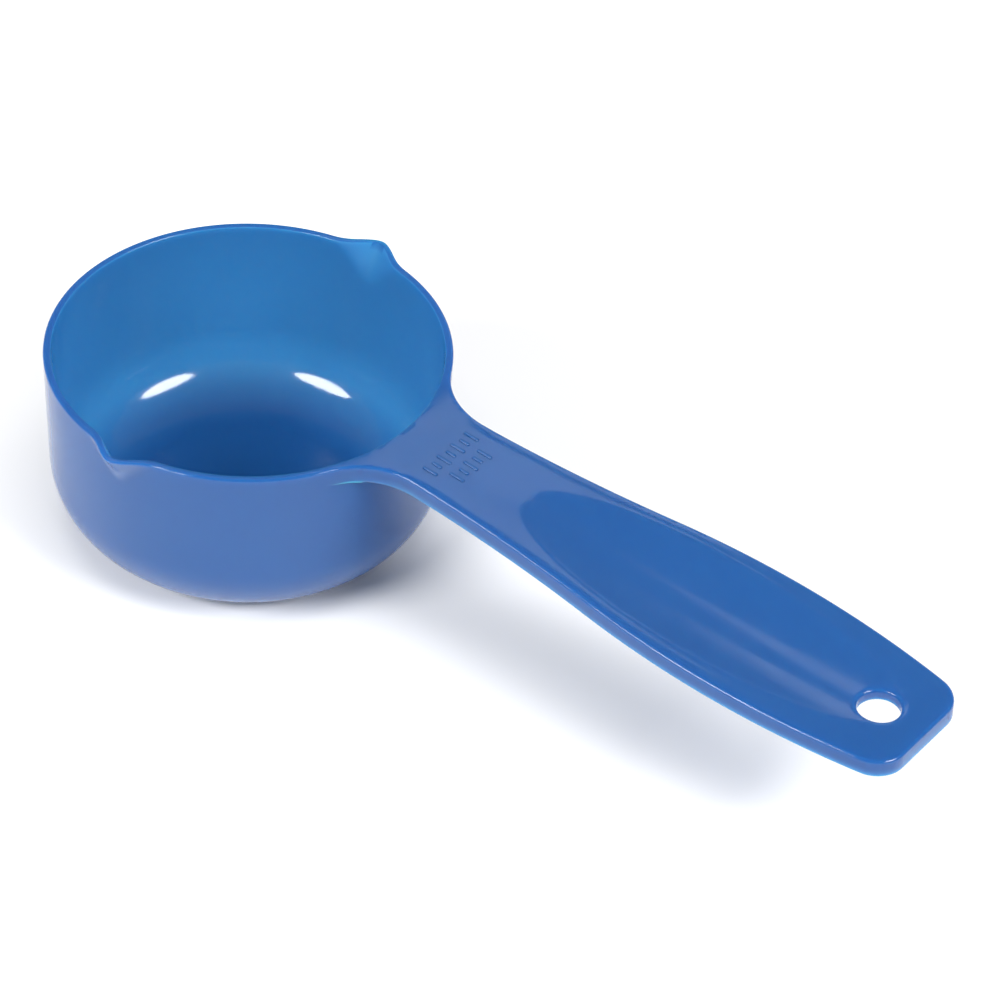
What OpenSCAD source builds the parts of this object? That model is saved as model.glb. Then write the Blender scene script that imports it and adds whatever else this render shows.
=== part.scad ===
// One-piece moulded measuring scoop with two pouring lips and a dished handle.
// +Z is up, +X runs along the handle, and the origin is the centre of the bowl's base.
// Everything upright is parallel to Z, the way the mould opens.

/* [Bowl] */
// Outside diameter of the bowl at its rim
rim_d = 62; // [54:1:76]
// Height of the bowl from its base to its rim
bowl_h = 31.4; // [26:0.1:40]
// Thickness of the bowl's wall
wall = 1.2; // [1:0.1:2]
// Thickness of the bowl's floor
floor_t = 1.4; // [1:0.1:2.5]
// Radius of the curve between wall and base, outside
corner_r = 12.6; // [8:0.1:14]
// Taper of the bowl's wall, in degrees
draft = 2.2; // [0.5:0.1:4]
// Rounding of the rim's outer edge
rim_round = 0.5; // [0.2:0.05:0.55]

/* [Pouring lips] */
// How far a lip stands out past the rim
lip_reach = 2.8; // [1.5:0.1:4]
// Width of a lip where it leaves the rim
lip_w = 11.5; // [8:0.1:16]
// How far down the wall a lip's flute runs
lip_h = 5; // [3:0.1:8]
// Radius of a lip's tip, inside
lip_tip_r = 1.6; // [1:0.1:2.5]

/* [Handle] */
// Length of the handle from the rim to its end
handle_l = 92.6; // [75:0.1:120]
// Width of the neck where it leaves the bowl
neck_w = 16.9; // [13:0.1:20]
// Width of the grip at its widest
grip_w = 26.06; // [22:0.02:31]
// Distance from the rim to the widest place of the grip
grip_at = 62; // [50:1:68]
// Width of the grip near its end
tip_w = 21.5; // [17:0.1:22]
// Radius of the two corners at the end
tip_r = 5; // [2:0.1:7]
// Radius of the flare between neck and rim, in plan
flare_r = 12; // [6:0.5:18]
// Height of the handle's edge
edge_h = 3.2; // [2.6:0.1:5]
// Thickness of the handle's top plate
plate_t = 1.9; // [1.4:0.1:2.4]
// Thickness of the handle's side walls
skirt_t = 1.8; // [1.2:0.1:2.6]
// Downward slope of the handle, in degrees
slope = 5; // [0:0.5:8]

/* [Thumb dish] */
// Distance from the rim to the start of the dish
dish_at = 20.8; // [16:0.1:30]
// Distance from the end of the dish to the end of the handle
dish_end_gap = 4.2; // [3:0.1:10]
// Depth of the dish at its middle
dish_depth = 1.1; // [0.5:0.05:1.5]
// Width of the dish at its middle
dish_w = 20; // [14:0.1:21]

/* [Hanging hole] */
// Diameter of the hanging hole
hole_d = 6.5; // [4:0.1:9]
// Distance from the hole's centre to the end of the handle
hole_gap = 8.2; // [7:0.1:14]

/* [Raised strokes] */
// Height of the raised strokes on the neck
stroke_h = 0.3; // [0.2:0.05:0.6]
// Width of one stroke
stroke_w = 0.5; // [0.3:0.05:0.8]
// Distance from stroke to stroke
stroke_pitch = 1.7; // [1.2:0.1:2]
// Length of a long stroke
stroke_l = 2.6; // [1.5:0.1:3]
// Length of a short stroke
stroke_short_l = 1.7; // [1:0.1:2.5]
// Strokes in the row nearer the bowl
strokes_row_1 = 7; // [3:1:7]
// Strokes in the row nearer the grip
strokes_row_2 = 5; // [3:1:7]
// Distance from the rim to the middle of the first row
strokes_at = 7.2; // [6:0.1:9]
// Distance between the middles of the two rows
row_pitch = 3.7; // [3.2:0.1:5]

/* [Hidden] */
$fn = 96;

plastic = [0.20, 0.42, 0.74];
plastic_light = [0.27, 0.49, 0.80];

rim_r = rim_d / 2;
floor_gap = 0.01;                    // how far a cutter runs past the face it cuts
x_end = rim_r + handle_l;
hole_x = x_end - hole_gap;

// --- the bowl's profile ---------------------------------------------------

// Radius of a tapered wall line at height z, for a wall that is r_top at the rim
function wall_r(r_top, z) = r_top - (bowl_h - z) * tan(draft);

// Half section of a round pot: a tapered side, a corner arc and a flat bottom
module pot_section(r_top, z_bottom, z_top, corner) {
    z_c = z_bottom + corner;
    r_c = wall_r(r_top, z_c) - corner / cos(draft);
    translate([r_c, z_c]) circle(corner);
    polygon([
        [0, z_bottom], [r_c, z_bottom], [r_c, z_c],
        [r_c + corner * cos(draft), z_c - corner * sin(draft)],
        [wall_r(r_top, z_top), z_top], [0, z_top]
    ]);
}

module outer_section() {
    difference() {
        intersection() {
            pot_section(rim_r, 0, bowl_h, corner_r);
            square([rim_d, bowl_h]);
        }
        translate([rim_r - rim_round, bowl_h - rim_round]) difference() {
            square(2 * rim_round);
            circle(rim_round);
        }
    }
}

module inner_section() {
    intersection() {
        pot_section(rim_r - wall, floor_t, bowl_h + 1, corner_r - floor_t);
        square([rim_d, bowl_h + 1]);
    }
}

// --- the pouring lips -----------------------------------------------------

// A pointed flute on the +Y side: a rounded V at the rim, running down to a point on the wall
module lip(root_r, reach, tip_radius, width, z_top, z_low) {
    tip_y = root_r + reach - tip_radius;
    hull() {
        translate([0, tip_y, z_top - floor_gap]) cylinder(r = tip_radius, h = floor_gap, $fn = 32);
        translate([-width / 2, wall_r(root_r, z_top) - reach, z_top - floor_gap])
            cube([width, reach / 2, floor_gap]);
        translate([0, wall_r(root_r, z_low) - reach / 2, z_low]) cylinder(r = reach / 2, h = floor_gap, $fn = 32);
    }
}

module both_sides() {
    children();
    mirror([0, 1, 0]) children();
}

// --- the handle's outline, seen from above --------------------------------

neck_y = neck_w / 2;
grip_y = grip_w / 2;
grip_x = rim_r + grip_at;
tip_x = x_end - tip_r;
// the grip's side is one arc through its widest place and its end
grip_arc_r = ((tip_x - grip_x) * (tip_x - grip_x) + (grip_y - tip_w / 2) * (grip_y - tip_w / 2))
    / (2 * (grip_y - tip_w / 2));
// the neck's side is an arc the other way, and both meet at one slope
join_slope = 2 * (grip_y - neck_y) / (grip_x - rim_r);
join_x = grip_x - join_slope * grip_arc_r;
neck_arc_r = (join_x - rim_r) / join_slope;

// Half the handle's width at x
function half_w(x) = x < join_x
    ? neck_y + (x - rim_r) * (x - rim_r) / (2 * neck_arc_r)
    : grip_y - (x - grip_x) * (x - grip_x) / (2 * grip_arc_r);

tip_slope = (tip_x - grip_x) / grip_arc_r;
tip_c_y = half_w(tip_x) - tip_r * sqrt(1 + tip_slope * tip_slope);
tip_turn = atan(1 / tip_slope);      // the angle at which a corner meets the side
side_end_x = tip_x + tip_r * cos(tip_turn);
side_steps = 36;
tip_steps = 8;

function side_point(i, inset) = let(x = rim_r + (side_end_x - rim_r) * i / side_steps)
    [x, half_w(x) - inset];
function tip_point(i, inset) = let(a = tip_turn * (1 - i / tip_steps))
    [tip_x + (tip_r - inset) * cos(a), tip_c_y + (tip_r - inset) * sin(a)];
function upper_edge(inset) = concat(
    [[0, neck_y - inset]],
    [for (i = [0:side_steps - 1]) side_point(i, inset)],
    [for (i = [0:tip_steps]) tip_point(i, inset)]
);
function mirrored(points) = [for (i = [len(points) - 1:-1:0]) [points[i][0], -points[i][1]]];

// The fillet in plan between the round rim and the neck
flare_c_y = neck_y + flare_r;
flare_c_x = sqrt((rim_r + flare_r) * (rim_r + flare_r) - flare_c_y * flare_c_y);
flare_root = [flare_c_x, flare_c_y] * rim_r / (rim_r + flare_r);

module flare() {
    difference() {
        polygon([[0, 0], flare_root, [flare_c_x, flare_c_y], [flare_c_x, 0]]);
        translate([flare_c_x, flare_c_y]) circle(flare_r);
    }
}

module outline() {
    edge = upper_edge(0);
    polygon(concat(edge, mirrored(edge)));
    flare();
    mirror([0, 1]) flare();
}

// The space inside the side walls, which starts a wall's thickness from the bowl
module channel_outline() {
    edge = upper_edge(skirt_t);
    difference() {
        polygon(concat(edge, mirrored(edge)));
        circle(rim_r + skirt_t);
    }
}

// --- the handle's slope ----------------------------------------------------

// The top of the handle leaves the rim here, where the flare begins
slope_x = flare_root[0];

module on_slope() {
    translate([slope_x, 0, bowl_h]) rotate([0, slope, 0]) children();
}

// Everything between two heights above the sloping top
module slab(low, high) {
    on_slope() translate([-rim_d, -rim_d, low]) cube([x_end + rim_d, 2 * rim_d, high - low]);
}

module upright(low_z) {
    translate([0, 0, low_z]) linear_extrude(2 * bowl_h) children();
}

// --- the thumb dish --------------------------------------------------------

dish_x0 = rim_r + dish_at;
dish_x1 = x_end - dish_end_gap;
dish_half_l = (dish_x1 - dish_x0) / 2;
// seen end on, the dish is an arc of this radius
barrel_r = (dish_w * dish_w / 4 + dish_depth * dish_depth) / (2 * dish_depth);
// seen from the side, it is an arc of this one
bow_r = (dish_half_l * dish_half_l + dish_depth * dish_depth) / (2 * dish_depth);

// A long barrel lying along the handle, that scoops out the dish, swollen by grow
module dish_barrel(grow) {
    on_slope() translate([(dish_x0 + dish_x1) / 2 - slope_x, 0, barrel_r - dish_depth])
        rotate([0, 90, 0]) rotate_extrude() intersection() {
            translate([barrel_r - bow_r, 0]) circle(bow_r + grow, $fn = 360);
            translate([0, -2 * dish_half_l]) square([2 * barrel_r, 4 * dish_half_l]);
        }
}

// --- the parts ---------------------------------------------------------------

module bowl_solid() {
    rotate_extrude() outer_section();
    both_sides() lip(rim_r, lip_reach, lip_tip_r + wall, lip_w + 2 * wall, bowl_h, bowl_h - lip_h - wall);
}

// The round bowl: wall, floor, rim and the two pouring lips
module bowl() {
    color(plastic) difference() {
        bowl_solid();
        rotate_extrude() inner_section();
        both_sides()
            lip(rim_r - wall, lip_reach, lip_tip_r, lip_w, bowl_h + floor_gap, bowl_h - lip_h);
        // the rim dips with the handle's slope where the handle joins it
        intersection() {
            slab(0, bowl_h);
            translate([slope_x, -rim_r, 0]) cube([rim_d, rim_d, 2 * bowl_h]);
        }
    }
}

// The handle: flared root, neck, dished grip and hanging hole, hollow underneath
module handle() {
    color(plastic_light) difference() {
        intersection() {
            upright(0) outline();
            slab(-edge_h, 0);
            translate([slope_x, -rim_r, 0]) cube([x_end, rim_d, 2 * bowl_h]);
        }
        rotate_extrude() intersection() {
            pot_section(rim_r, 0, 2 * bowl_h, corner_r);
            square([rim_d, 2 * bowl_h]);
        }
        dish_barrel(0);
        difference() {
            intersection() {
                upright(0) channel_outline();
                slab(-2 * edge_h, -plate_t);
            }
            dish_barrel(plate_t);
        }
        translate([hole_x, 0, 0]) cylinder(d = hole_d, h = 2 * bowl_h);
    }
}

// One raised stroke across the top of the neck, x from the rim
module stroke(x, y, length) {
    on_slope() translate([rim_r - slope_x + x - length / 2, y - stroke_w / 2, 0])
        cube([length, stroke_w, stroke_h]);
}

module stroke_row(count, x) {
    for (i = [0:count - 1])
        stroke(x, (i - (count - 1) / 2) * stroke_pitch, i % 2 == 0 ? stroke_l : stroke_short_l);
}

// Plain raised strokes in two rows, where a capacity mark would stand
module raised_strokes() {
    color(plastic_light) {
        stroke_row(strokes_row_1, strokes_at);
        stroke_row(strokes_row_2, strokes_at + row_pitch);
    }
}

bowl();
handle();
raised_strokes();
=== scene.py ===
from math import atan2, copysign, cos, exp, hypot, pi, radians, sin, sqrt, tan

import bmesh
import bpy
from mathutils import Matrix, Vector


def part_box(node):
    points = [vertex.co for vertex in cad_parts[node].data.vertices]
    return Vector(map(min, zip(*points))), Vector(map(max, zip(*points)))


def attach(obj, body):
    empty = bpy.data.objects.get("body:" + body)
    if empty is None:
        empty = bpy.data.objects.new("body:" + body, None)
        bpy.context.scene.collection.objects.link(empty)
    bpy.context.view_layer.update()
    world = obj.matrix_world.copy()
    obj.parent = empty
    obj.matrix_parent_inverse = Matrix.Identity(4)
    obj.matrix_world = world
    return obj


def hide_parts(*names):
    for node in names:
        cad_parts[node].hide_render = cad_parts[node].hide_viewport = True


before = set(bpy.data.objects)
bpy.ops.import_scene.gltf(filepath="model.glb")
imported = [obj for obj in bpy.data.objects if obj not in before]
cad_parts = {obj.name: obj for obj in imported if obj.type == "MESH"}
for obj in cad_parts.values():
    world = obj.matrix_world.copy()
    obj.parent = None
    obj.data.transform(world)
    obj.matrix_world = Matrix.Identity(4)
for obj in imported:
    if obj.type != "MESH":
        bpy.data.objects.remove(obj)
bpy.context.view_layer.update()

# --- Bowl -------------------------------------------------------------------
# The round end of a one-piece polypropylene moulding: a thin tapered wall that sweeps
# through a large corner into a flat base. The rim is moulded square and softly rounded.

mm = 0.001
tiny = 1e-6
rim_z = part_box("bowl")[1].z
rim_r = 31 * mm
wall = 1.2 * mm
floor_t = 1.4 * mm
corner_r = 12.6 * mm
corner_steps = 14
draft = radians(2.2)

# The handle's root covers the rim this far to each side of +X, and each lip this far of its middle
root_angle = radians(28.4)
lip_sector = radians(15)

moulding = bmesh.new()
section = [
    Vector((0, 0, 0)),
    Vector((rim_r - rim_z * tan(draft), 0, 0)),
    Vector((rim_r, 0, rim_z)),
    Vector((rim_r - wall, 0, rim_z)),
    Vector((rim_r - wall - (rim_z - floor_t) * tan(draft), 0, floor_t)),
    Vector((0, 0, floor_t)),
]
points = [moulding.verts.new(point) for point in section]
sides = [moulding.edges.new(pair) for pair in zip(points, points[1:])]
bmesh.ops.rotate(moulding, verts=points, cent=(0, 0, 0),
                 matrix=Matrix.Rotation(-root_angle, 3, "Z"))

# Once round, an angle and its steps at a time, with the steps closest at the two lips
quarter_gap = pi / 2 - lip_sector - root_angle
turns = [
    (2 * root_angle, 34),
    (quarter_gap, 28),
    (2 * lip_sector, 52),
    (pi - 2 * lip_sector, 80),
    (2 * lip_sector, 52),
    (quarter_gap, 28),
]
last_section = points + sides
for angle, steps in turns:
    spun = bmesh.ops.spin(moulding, geom=last_section, cent=(0, 0, 0), axis=(0, 0, 1),
                          angle=angle, steps=steps, use_merge=False)
    last_section = spun["geom_last"]
bmesh.ops.remove_doubles(moulding, verts=moulding.verts[:], dist=tiny)
bmesh.ops.recalc_face_normals(moulding, faces=moulding.faces[:])


close = 0.01 * mm


def level(edge, z):
    """Whether an edge lies at a height."""
    return all(abs(vert.co.z - z) < tiny for vert in edge.verts)


def ring(z, radius):
    """The edges that run round the bowl's axis at a height and a radius."""
    return [edge for edge in moulding.edges
            if level(edge, z)
            and all(abs(hypot(vert.co.x, vert.co.y) - radius) < close for vert in edge.verts)]


def rounded(edges, size, segments):
    """Rounds these edges of the moulding off."""
    bmesh.ops.bevel(moulding, geom=edges, offset=size, offset_type="OFFSET", segments=segments,
                    profile=0.5, affect="EDGES", material=-1, clamp_overlap=False)


corner_run = tan((pi / 2 - draft) / 2)
rounded(ring(0, section[1].x), corner_r * corner_run, corner_steps)
rounded(ring(floor_t, section[4].x), (corner_r - floor_t) * corner_run, corner_steps)

# Level cuts round the wall, at these depths below the rim: close together where the lips run
# down and where the handle's edge grows out, then a few for an even mesh
edge_h = 3.0 * mm
row = 0.5 * mm
close_cuts = [edge_h + i * row for i in range(-4, 7)]
wide_cuts = [9 * mm, 13 * mm, 17 * mm]
for depth in close_cuts + wide_cuts:
    whole = moulding.verts[:] + moulding.edges[:] + moulding.faces[:]
    bmesh.ops.bisect_plane(moulding, geom=whole, dist=tiny * 0.1,
                           plane_co=(0, 0, rim_z - depth), plane_no=(0, 0, 1))

# --- Pouring lips -------------------------------------------------------------
# Two pointed flutes pressed out of the rim opposite each other, a quarter turn from the
# handle. Each is a rounded V at the rim that runs down to a point on the wall.

lip_h = 5 * mm
lip_reach = 2.8 * mm
lip_flank = 0.86
lip_blend = 1.1 * mm
lip_wall = 1.05 * mm
lip_round_outside = 2.1 * mm
lip_round_inside = 1.3 * mm
lip_half_w = 9 * mm
lip_from_y = 20 * mm


def lip_line(x, y, depth, point_y, point_round):
    """How far out the wall stands at x, where the round wall alone stands at y."""
    valley = point_y - depth * (lip_reach + 0.5 * lip_blend) / lip_h
    curve = point_round * lip_flank ** 2
    flute = valley - (sqrt((lip_flank * x) ** 2 + curve ** 2) - curve)
    blend = max(0, 1 - abs(y - flute) / lip_blend)
    return max(y, flute) + blend ** 2 * lip_blend / 4


for vert in moulding.verts:
    x, y, depth = vert.co.x, abs(vert.co.y), rim_z - vert.co.z
    if depth < 1.4 * lip_h and abs(x) < lip_half_w and y > lip_from_y:
        outside = hypot(x, y) > rim_r - wall / 2 - depth * tan(draft)
        point_y = rim_r + lip_reach if outside else rim_r + lip_reach - lip_wall
        point_round = lip_round_outside if outside else lip_round_inside
        vert.co.y = copysign(lip_line(x, y, depth, point_y, point_round), vert.co.y)

# --- Handle -------------------------------------------------------------------
# Grows out of the rim in the same shot of plastic: a flared root, a narrow neck and a broad
# grip with a thin top plate and a shallow wall all round, hollow underneath. It slopes down a
# little from the rim, and the grip's top is dished for the thumb.

handle_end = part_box("handle")[1].x
neck_half = 8.6 * mm
grip_half = 13.2 * mm
tip_half = 10.95 * mm
grip_x = rim_r + 62 * mm
tip_round = 5 * mm
tip_x = handle_end - tip_round
flare_r = 12 * mm
flare_x = sqrt((rim_r + flare_r) ** 2 - (neck_half + flare_r) ** 2)
plate_t = 1.9 * mm
skirt_t = 1.8 * mm

grip_arc = ((tip_x - grip_x) ** 2 + (grip_half - tip_half) ** 2) / (2 * (grip_half - tip_half))
join_slope = 2 * (grip_half - neck_half) / (grip_x - rim_r)
join_x = grip_x - join_slope * grip_arc
neck_arc = (join_x - rim_r) / join_slope


def half_width(x):
    """Half the handle's width at x, before the end's corners are rounded."""
    if x < join_x:
        return neck_half + (x - rim_r) ** 2 / (2 * neck_arc) + flare_r - sqrt(
            flare_r ** 2 - max(0, flare_x - x) ** 2)
    return grip_half - (x - grip_x) ** 2 / (2 * grip_arc)


# Lines across the handle, each a middle and a side, bent like the rim along the flare and then
# straight
root_x = rim_r * cos(root_angle)
flare_start = atan2(rim_r * sin(root_angle) - neck_half - flare_r, root_x - flare_x)
flare_steps = 14
lines = []
first_step = 2
for step in range(first_step, flare_steps + 1):
    turn = flare_start + (-pi / 2 - flare_start) * step / flare_steps
    side_x = flare_x + flare_r * cos(turn)
    lines.append((rim_r + (flare_x - rim_r) * (side_x - root_x) / (flare_x - root_x), side_x))
straight_steps = 60
for step in range(1, straight_steps + 1):
    x = flare_x + (tip_x - flare_x) * step / straight_steps
    lines.append((x, x))
lines.append((handle_end, handle_end))


def pushed_out(faces):
    """Extrudes the faces as one region and returns the new faces and the new vertices."""
    grown = bmesh.ops.extrude_face_region(moulding, geom=faces)["geom"]
    bmesh.ops.delete(moulding, geom=faces, context="FACES")
    return ([item for item in grown if isinstance(item, bmesh.types.BMFace)],
            [item for item in grown if isinstance(item, bmesh.types.BMVert)])


across = moulding.verts.layers.float.new("across")
growing = []
for face in moulding.faces:
    middle = face.calc_center_median()
    outward = face.normal.x * middle.x + face.normal.y * middle.y > 0
    at_root = abs(face.normal.z) < 0.5 and middle.z > rim_z - edge_h
    if at_root and outward and abs(atan2(middle.y, middle.x)) < root_angle:
        growing.append(face)
        for vert in face.verts:
            vert[across] = max(-1, min(1, sin(atan2(vert.co.y, vert.co.x)) / sin(root_angle)))
for mid_x, side_x in lines:
    growing, ends = pushed_out(growing)
    for vert in ends:
        vert.co.x = mid_x - (mid_x - side_x) * vert[across] ** 2
        vert.co.y = half_width(side_x) * vert[across]


def facing(z, up, low_x):
    """The level faces past low_x at a height, looking up, or down when up is -1."""
    moulding.normal_update()
    found = []
    for face in moulding.faces:
        middle = face.calc_center_median()
        if face.normal.z * up > 0.9 and abs(middle.z - z) < close and middle.x > low_x:
            found.append(face)
    return found


def largest(faces):
    """The face with the most area."""
    return max(faces, key=lambda face: face.calc_area())


def turn_of(face):
    """How far round the bowl's axis a face lies, to either side of the handle."""
    middle = face.calc_center_median()
    return abs(atan2(middle.y, middle.x))


# The top, with the rim's land between the roots, becomes one face, and so does the underside
land_x = (rim_r - wall) * cos(root_angle) - 2 * mm
land_margin = radians(2.5)
on_top = [face for face in facing(rim_z, 1, land_x) if turn_of(face) < root_angle + land_margin]
bmesh.ops.dissolve_faces(moulding, faces=on_top)
below_z = rim_z - edge_h
bmesh.ops.dissolve_faces(moulding, faces=facing(below_z, -1, 0))

# The end becomes one face, and its two upright corners are rounded
at_end = [face for face in moulding.faces if face.calc_center_median().x > handle_end - tiny]
bmesh.ops.dissolve_faces(moulding, faces=at_end)
spare = [vert for vert in moulding.verts
         if vert.co.x > handle_end - tiny and len(vert.link_edges) == 2]
bmesh.ops.dissolve_verts(moulding, verts=spare)
sharp_angle = radians(50)
end_corners = [edge for edge in moulding.edges
               if all(vert.co.x > handle_end - tiny for vert in edge.verts)
               and abs(edge.verts[0].co.z - edge.verts[1].co.z) > tiny
               and edge.calc_face_angle(0) > sharp_angle]
end_turn = pi / 2 - (handle_end - grip_x) / grip_arc
rounded(end_corners, tip_round * tan(end_turn / 2), 10)


def parts_of(faces):
    """The faces with their edges and vertices, each once and in order."""
    return list(dict.fromkeys(part for face in faces for part in [face, *face.edges, *face.verts]))


def sliced(parts, point, across_way, snap):
    """Cuts only these parts of the mesh where a plane crosses them, and returns their pieces."""
    return bmesh.ops.bisect_plane(moulding, geom=parts, dist=snap, plane_co=point,
                                  plane_no=across_way)["geom"]


# The hollow underneath: its outline keeps a wall of even thickness inside the handle's own,
# and its neck end is drawn in a little
hollow_x = 35 * mm
hollow_taper = 1.5 * mm
hollow_run = 15 * mm
sliced(parts_of([largest(facing(below_z, -1, 0))]), (hollow_x, 0, 0), (1, 0, 0), 0.05 * mm)
outline = largest(facing(below_z, -1, hollow_x))
bmesh.ops.inset_region(moulding, faces=[outline], thickness=0.01 * mm, use_even_offset=True)
end_slope = (tip_x - grip_x) / grip_arc
corner_y = half_width(tip_x) - tip_round * hypot(1, end_slope)
for vert in outline.verts:
    x, y = vert.co.x, abs(vert.co.y)
    if x > tip_x and y > corner_y:
        x, y = Vector((tip_x, corner_y)).lerp(Vector((x, y)), 1 - skirt_t / tip_round)
    elif x > tip_x:
        x -= skirt_t
    else:
        y -= skirt_t
    x += hollow_taper * max(0, 1 - (x - hollow_x) / hollow_run)
    vert.co.x, vert.co.y = x, copysign(y, vert.co.y)
ceiling, raised = pushed_out([outline])
bmesh.ops.translate(moulding, verts=raised, vec=(0, 0, edge_h - plate_t))
ceiling_z = rim_z - plate_t


def corner_edges(z, outer, low_x=-1.0):
    """Edges at a height between a level face and an upright one that looks outwards, or inwards."""
    moulding.normal_update()
    found = []
    for edge in moulding.edges:
        if level(edge, z) and edge.calc_face_angle(0) > radians(60):
            upright = min(edge.link_faces, key=lambda face: abs(face.normal.z))
            middle = (edge.verts[0].co + edge.verts[1].co) / 2
            outwards = upright.normal.xy.dot(middle.xy) > 0
            if outwards == outer and middle.x > low_x:
                found.append(edge)
    return found


def round_the_hollow(vert):
    """Whether a vertex lies on the hollow's outline, and not on the handle's own."""
    inside_sides = abs(vert.co.y) < half_width(vert.co.x) - skirt_t / 2
    return inside_sides and vert.co.x < handle_end - skirt_t / 2


# Soft edges: where the hollow's ceiling meets its walls, round its mouth, along the outside's
# lower edge, and then round the top, outside and inside the rim
rounded(corner_edges(ceiling_z, False) + corner_edges(ceiling_z, True), 0.5 * mm, 3)
below_edges = corner_edges(below_z, False, hollow_x) + corner_edges(below_z, True, hollow_x)
mouth_edges = [edge for edge in below_edges if all(map(round_the_hollow, edge.verts))]
rounded(mouth_edges, 0.3 * mm, 3)
side_edges_x = 30 * mm
side_edges = [edge for edge in corner_edges(below_z, True, side_edges_x) if edge.is_convex]
rounded(side_edges, 0.35 * mm, 3)
rounded(corner_edges(rim_z, True), 0.42 * mm, 5)
rounded(corner_edges(rim_z, False), 0.25 * mm, 3)

# A fine grid over the handle, laid out from the hole's middle, so that it can be bent and dished
hole_from_end = 8.2 * mm
hole_x = handle_end - hole_from_end
hole_r = 3.25 * mm
cell = 0.7 * mm
cells_to_bowl = 130
cells_to_end = 11
cells_aside = 19
hole_cells = 7
snap = 0.02 * mm

of_handle = []
for face in moulding.faces:
    middle = face.calc_center_median()
    from_axis = hypot(middle.x, middle.y)
    level_top = (face.normal.z > 0.95 and middle.x > 20 * mm
                 and middle.z > rim_z - 0.1 * mm)
    off_bowl = (from_axis > rim_r + 0.05 * mm and middle.x > from_axis * cos(root_angle)
                and middle.z > below_z - 0.1 * mm)
    if level_top or off_bowl:
        of_handle.append(face)
grid = parts_of(of_handle)
for step in range(-cells_to_bowl, cells_to_end + 1):
    grid = sliced(grid, (hole_x + step * cell, 0, 0), (1, 0, 0), snap)
for step in range(-cells_aside, cells_aside + 1):
    grid = sliced(grid, (0, step * cell, 0), (0, 1, 0), snap)

# The hanging hole: a square of cells opens into a circle above and below
hole_half = hole_cells * cell
hole_rings = []
for z, up in ((rim_z, 1), (ceiling_z, -1)):
    cells = [face for face in facing(z, up, hole_x - hole_half)
             if abs(face.calc_center_median().x - hole_x) < hole_half
             and abs(face.calc_center_median().y) < hole_half]
    square = [edge for edge in parts_of(cells) if isinstance(edge, bmesh.types.BMEdge)
              and sum(face in cells for face in edge.link_faces) == 1]
    bmesh.ops.delete(moulding, geom=cells, context="FACES")
    pulled = bmesh.ops.extrude_edge_only(moulding, edges=square)["geom"]
    for vert in [part for part in pulled if isinstance(part, bmesh.types.BMVert)]:
        away = (vert.co.xy - Vector((hole_x, 0))).normalized() * hole_r
        vert.co.xy = Vector((hole_x, 0)) + away
    circle = [part for part in pulled if isinstance(part, bmesh.types.BMEdge) and part.is_boundary]
    hole_rings.append(circle)
bmesh.ops.bridge_loops(moulding, edges=hole_rings[0] + hole_rings[1])


def round_hole(vert):
    """Whether a vertex lies on the hole's edge."""
    return abs(hypot(vert.co.x - hole_x, vert.co.y) - hole_r) < tiny


for z, size, segments in ((rim_z, 0.55 * mm, 5), (ceiling_z, 0.25 * mm, 3)):
    hole_edges = [edge for edge in moulding.edges
                  if level(edge, z) and all(map(round_hole, edge.verts))]
    rounded(hole_edges, size, segments)

# The long edges that run out from the hole are cut up, so that the dish can bend them too
spoke_l = 1.5 * cell
near_hole = 1.5 * hole_half
spokes = [edge for edge in moulding.edges
          if edge.calc_length() > spoke_l
          and (level(edge, rim_z) or level(edge, ceiling_z))
          and all(hypot(vert.co.x - hole_x, vert.co.y) < near_hole for vert in edge.verts)]
bmesh.ops.subdivide_edges(moulding, edges=spokes, cuts=3, use_grid_fill=False)

# Bending: the handle slopes down from the rim, its top rounds off to the sides, wider on the
# far side at +Y, and is dished for the thumb, with a slight sink between the dish and the neck
slope = tan(radians(5))
bend_from = 26.2 * mm
bend_run = 5 * mm
dish_x = 85.6 * mm
dish_half_l = 33.8 * mm
dish_half_w = 10 * mm
dish_depth = 1.1 * mm
dish_rim = 0.04
crown_w_far = 2.4 * mm
crown_w_near = 1.5 * mm
crown_h = 0.16 * mm
crown_from = 34 * mm
crown_run = 6 * mm
sink_x = 47 * mm
sink_l = 5 * mm
sink_w = 3.8 * mm
sink_depth = 0.12 * mm
wall_fade = 6 * mm


def edge_distance(x, y):
    """How far a point lies inside the handle's outline."""
    if x > tip_x and abs(y) > corner_y:
        return tip_round - hypot(x - tip_x, abs(y) - corner_y)
    return min(handle_end - x, half_width(x) - abs(y))


def drop(x, y):
    """How far the handle's middle surface lies below the rim."""
    past = x - bend_from
    fall = slope * (past ** 2 / (2 * bend_run) if past < bend_run else past - bend_run / 2)
    inside = 1 - ((x - dish_x) / dish_half_l) ** 2 - (y / dish_half_w) ** 2
    dish = dish_depth * (inside + hypot(inside, dish_rim)) / 2
    sink = sink_depth * exp(-(((x - sink_x) / sink_l) ** 2 + (y / sink_w) ** 2) / 2)
    return fall + dish + sink


for vert in moulding.verts:
    x, y, depth = vert.co.x, vert.co.y, rim_z - vert.co.z
    if x > bend_from and depth < edge_h + row + wall_fade:
        on_handle = hypot(x, y) > rim_r + tiny
        crown = min(1, max(0, (x - crown_from) / crown_run)) * max(0, 1 - depth / edge_h)
        if crown:
            crown_w = crown_w_far if y > 0 else crown_w_near
            crown *= max(0, 1 - max(0, edge_distance(x, y)) / crown_w) ** 2
        weight = 1 if on_handle else min(1, max(0, 1 - (depth - edge_h - row) / wall_fade))
        vert.co.z -= weight * (drop(x, y) + crown * crown_h)

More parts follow.
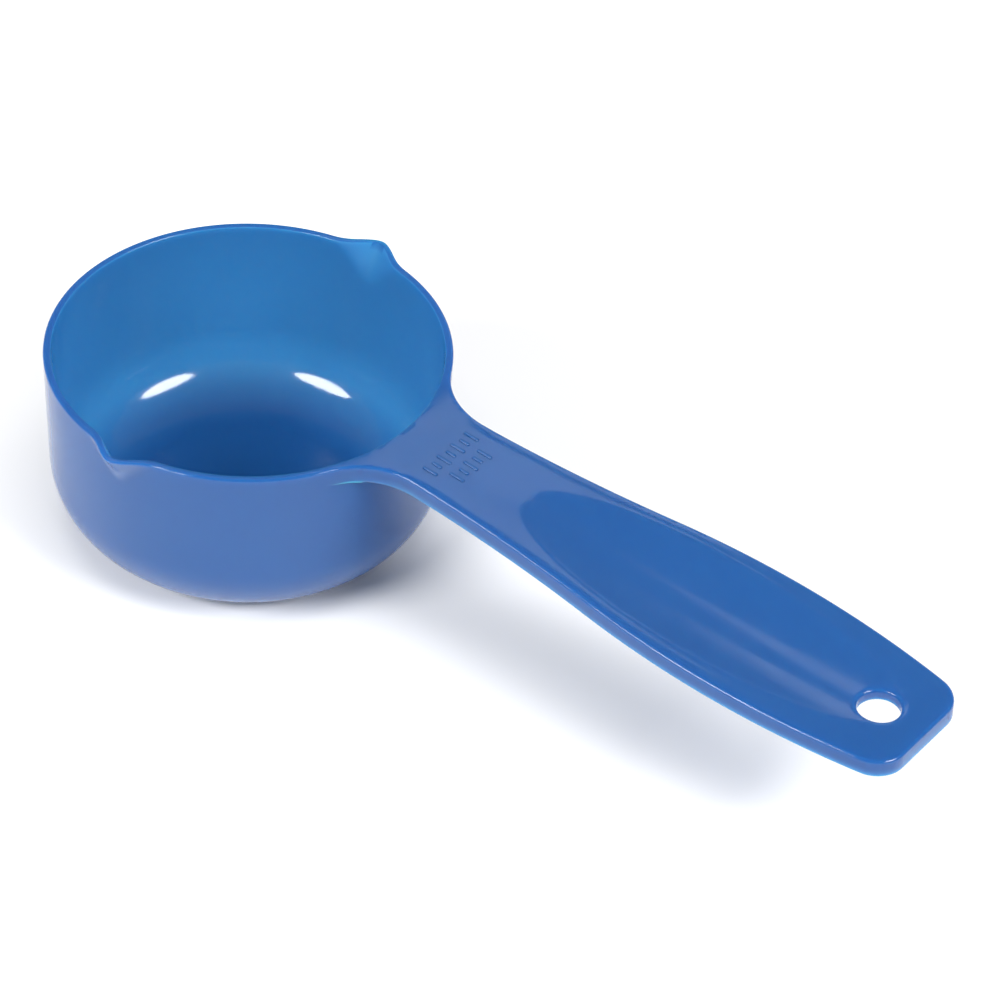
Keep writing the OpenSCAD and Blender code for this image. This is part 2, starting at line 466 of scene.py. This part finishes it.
# Painted light: how much light comes through from behind, kept as a mask that paints a paler glow
# into the colour: inside the bowl, full above the corner and a little less at the rim, and along
# the handle's lower edges
glow_rise = 5 * mm
glow_rim_loss = 0.35
edge_glow = 0.7
edge_glow_from = 0.6 * edge_h
edge_glow_run = 0.35 * edge_h
edge_glow_start = 6 * mm
through = moulding.verts.layers.float.new("light_through")
moulding.normal_update()
for vert in moulding.verts:
    x, y, z = vert.co
    from_axis, depth = hypot(x, y), rim_z - z
    inwards = x * vert.normal.x + y * vert.normal.y < -0.2 * from_axis
    upwards = vert.normal.z > 0.1 and depth > edge_h
    in_bowl = depth > 0.1 * mm and from_axis < rim_r + lip_reach and z > floor_t / 2
    if in_bowl and (inwards or upwards):
        rise = min(1, max(0, (z - floor_t) / glow_rise))
        vert[through] = rise * (1 - glow_rim_loss * (z / rim_z) ** 2)
    elif from_axis > rim_r + row and x > root_x:
        edge_down = rim_z - z - drop(x, y)
        vert[through] = edge_glow * max(0, min(1, (edge_down - edge_glow_from) / edge_glow_run))
        vert[through] *= max(0, min(1, (x - rim_r) / edge_glow_start))

moulding.normal_update()
for face in moulding.faces:
    face.smooth = True
for edge in moulding.edges:
    edge.smooth = edge.calc_face_angle(0) < sharp_angle
body_mesh = bpy.data.meshes.new("scoop_body")
moulding.to_mesh(body_mesh)
body = bpy.data.objects.new("scoop_body", body_mesh)
bpy.context.scene.collection.objects.link(body)
even_shading = body.modifiers.new("even shading", "WEIGHTED_NORMAL")
even_shading.keep_sharp = True
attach(body, "root")
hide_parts("bowl", "handle")


class Socket:
    """One output of a material's nodes, so that maths on it reads as maths."""

    def __init__(self, tree, output):
        self.tree, self.output = tree, output

    def node(self, kind, settings=None, **inputs):
        """Makes a node. Inputs go by name, or by place as i0, i1 and so on."""
        made = self.tree.nodes.new(kind)
        for name, value in (settings or {}).items():
            setattr(made, name, value)
        for name, value in inputs.items():
            socket = made.inputs[int(name[1:])] if name[0] == "i" and name[1:].isdigit() else (
                made.inputs[name.replace("_", " ")])
            if isinstance(value, Socket):
                self.tree.links.new(value.output, socket)
            else:
                socket.default_value = value
        return made

    def maths(self, operation, first, second):
        return Socket(self.tree, self.node("ShaderNodeMath", {"operation": operation},
                                           i0=first, i1=second).outputs[0])

    def __add__(self, other):
        return self.maths("ADD", self, other)

    __radd__ = __add__

    def __mul__(self, other):
        return self.maths("MULTIPLY", self, other)

    __rmul__ = __mul__


plastic = bpy.data.materials.new("blue_polypropylene")
plastic.use_nodes = True
tree = plastic.node_tree
shader = tree.nodes["Principled BSDF"]
place = Socket(tree, tree.nodes.new("ShaderNodeTexCoord").outputs["Object"])


def noise(scale, detail, roughness=0.5):
    made = place.node("ShaderNodeTexNoise", Vector=place, Scale=scale, Detail=detail,
                      Roughness=roughness)
    return Socket(tree, made.outputs[0])


def mixed(mask, first, second):
    made = place.node("ShaderNodeMix", {"data_type": "RGBA"}, i0=mask, i6=first, i7=second)
    return Socket(tree, made.outputs[2])


def ranged(value, low, high, to_low, to_high):
    made = place.node("ShaderNodeMapRange", i0=value, i1=low, i2=high, i3=to_low, i4=to_high)
    return Socket(tree, made.outputs[0])


# Blue that varies very slightly, with a paler painted glow where light comes through, and a fine
# haze on its gloss
clouds = noise(45, 3)
base_blue = (0.009, 0.075, 0.252, 1)
pale_blue = (0.013, 0.090, 0.280, 1)
# Painted light: this paler blue and its mask paint the glow of light coming through the bowl's
# walls and the handle's lower edges
painted_glow_blue = (0.045, 0.205, 0.410, 1)
glow = place.node("ShaderNodeAttribute", {"attribute_name": "light_through"})
painted_glow_mask = Socket(tree, glow.outputs["Fac"])
blue = mixed(painted_glow_mask, mixed(clouds, base_blue, pale_blue), painted_glow_blue)
tree.links.new(blue.output, shader.inputs["Base Color"])
haze = ranged(noise(160, 4), 0.3, 0.7, 0, 1)
tree.links.new((0.07 + haze * 0.06).output, shader.inputs["Roughness"])
bump = place.node("ShaderNodeBump", Strength=0.05, Distance=0.0001, Height=noise(420, 5, 0.6))
tree.links.new(bump.outputs[0], shader.inputs["Normal"])
shader.inputs["IOR"].default_value = 1.5
shader.inputs["Subsurface Weight"].default_value = 0.85
shader.inputs["Subsurface Radius"].default_value = (1.0, 4.0, 5.0)
shader.inputs["Subsurface Scale"].default_value = 0.001
body_mesh.materials.append(plastic)

# --- Raised strokes -------------------------------------------------------------
# Two rows of plain ribs standing off the neck where a capacity mark would be. They are cut as
# shallow grooves in the mould, so they are the same plastic, soft along their top edges.

stroke_w = 0.5 * mm
stroke_h = 0.22 * mm
stroke_sunk = 0.12 * mm
stroke_l_even = 2.6 * mm
stroke_l_odd = 1.7 * mm
stroke_pitch = 1.7 * mm
stroke_round = 0.16 * mm
stroke_rows = [(7, rim_r + 7.2 * mm), (5, rim_r + 10.9 * mm)]

strokes = bmesh.new()
for count, mid_x in stroke_rows:
    for i in range(count):
        stroke_l = stroke_l_even if i % 2 == 0 else stroke_l_odd
        size = Vector((stroke_l, stroke_w, stroke_h + stroke_sunk))
        mid_y = (i - (count - 1) / 2) * stroke_pitch
        middle = Vector((mid_x, mid_y, rim_z + (stroke_h - stroke_sunk) / 2))
        placed = Matrix.Translation(middle) @ Matrix.Diagonal((*size, 1))
        bar = bmesh.ops.create_cube(strokes, size=1, matrix=placed)["verts"]
        above = dict.fromkeys(edge for vert in bar for edge in vert.link_edges
                              if max(other.co.z for other in edge.verts) > middle.z)
        bmesh.ops.bevel(strokes, geom=list(above), offset=stroke_round, offset_type="OFFSET",
                        segments=4, profile=0.5, affect="EDGES", material=-1, clamp_overlap=True)
for vert in strokes.verts:
    vert.co.z -= drop(vert.co.x, vert.co.y)
for face in strokes.faces:
    face.smooth = True
strokes_mesh = bpy.data.meshes.new("neck_strokes")
strokes.to_mesh(strokes_mesh)
# As a mesh of their own the ribs are too small to scatter light inside them as the body does
rib_plastic = plastic.copy()
rib_plastic.name = "blue_polypropylene_ribs"
rib_plastic.node_tree.nodes["Principled BSDF"].inputs["Subsurface Weight"].default_value = 0
strokes_mesh.materials.append(rib_plastic)
neck_strokes = bpy.data.objects.new("neck_strokes", strokes_mesh)
bpy.context.scene.collection.objects.link(neck_strokes)
neck_strokes.modifiers.new("even shading", "WEIGHTED_NORMAL")
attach(neck_strokes, "root")
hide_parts("raised_strokes")

# --- Studio ---------------------------------------------------------------------
# A white table, a camera above and to the near side, two soft boxes beside the camera, two dim
# strips behind the scoop, and a sheet overhead that fills the shadows.

camera_at = (0.468628, -0.602160, 0.649193)
camera_turn, camera_down, camera_roll = radians(34.973), radians(40.277), radians(2.301)
camera_data = bpy.data.cameras.new("camera")
camera = bpy.data.objects.new("camera", camera_data)
bpy.context.scene.collection.objects.link(camera)
turned = (Matrix.Rotation(camera_turn, 3, "Z") @ Matrix.Rotation(pi / 2 - camera_down, 3, "X")
          @ Matrix.Rotation(camera_roll, 3, "Z"))
camera.matrix_world = Matrix.Translation(camera_at) @ turned.to_4x4()
camera_data.lens = 234
camera_data.sensor_width = 36
bpy.context.scene.camera = camera

table_half = 3
table_mesh = bpy.data.meshes.new("table")
table_shape = bmesh.new()
bmesh.ops.create_grid(table_shape, x_segments=1, y_segments=1, size=table_half)
table_shape.to_mesh(table_mesh)
table = bpy.data.objects.new("table", table_mesh)
bpy.context.scene.collection.objects.link(table)
white = bpy.data.materials.new("white_table")
white.use_nodes = True
finish = white.node_tree.nodes["Principled BSDF"].inputs
finish["Base Color"].default_value = (0.92, 0.92, 0.92, 1)
finish["Roughness"].default_value = 0.9
finish["Specular IOR Level"].default_value = 0.1
table_mesh.materials.append(white)

# Each panel: name, shape, its direction's angle round +Z and angle up, distance, width, height,
# power, and whether it shows in reflections
panels = [
    ("left softbox", "ELLIPSE", 254, 37, 1.2, 0.70, 0.3, 11.5, True),
    ("right softbox", "ELLIPSE", 4, 37, 1.2, 0.70, 0.3, 11.5, True),
    ("back strip", "RECTANGLE", 129, 47.2, 1.6, 0.64, 0.18, 0.42, True),
    ("low back strip", "RECTANGLE", 113.5, 35, 1.6, 0.15, 0.2, 0.11, True),
    ("overhead sheet", "RECTANGLE", 308, 80, 1.4, 0.9, 0.7, 8, False),
]
aim = Vector((40 * mm, 0, 20 * mm))
for name, shape, azimuth, elevation, distance, width, height, power, reflected in panels:
    lamp = bpy.data.lights.new(name, "AREA")
    lamp.shape = shape
    lamp.size, lamp.size_y, lamp.energy = width, height, power
    panel = bpy.data.objects.new(name, lamp)
    bpy.context.scene.collection.objects.link(panel)
    round_z, up = radians(azimuth), radians(elevation)
    level_out = cos(up) * distance
    panel.location = aim + Vector((level_out * cos(round_z), level_out * sin(round_z),
                                   sin(up) * distance))
    panel.rotation_euler = (aim - panel.location).to_track_quat("-Z", "Y").to_euler()
    panel.visible_glossy = reflected

world = bpy.data.worlds.new("studio")
bpy.context.scene.world = world
world.use_nodes = True
world.node_tree.nodes["Background"].inputs["Color"].default_value = (1, 1, 1, 1)
world.node_tree.nodes["Background"].inputs["Strength"].default_value = 0.30
bpy.context.scene.view_settings.view_transform = "Standard"
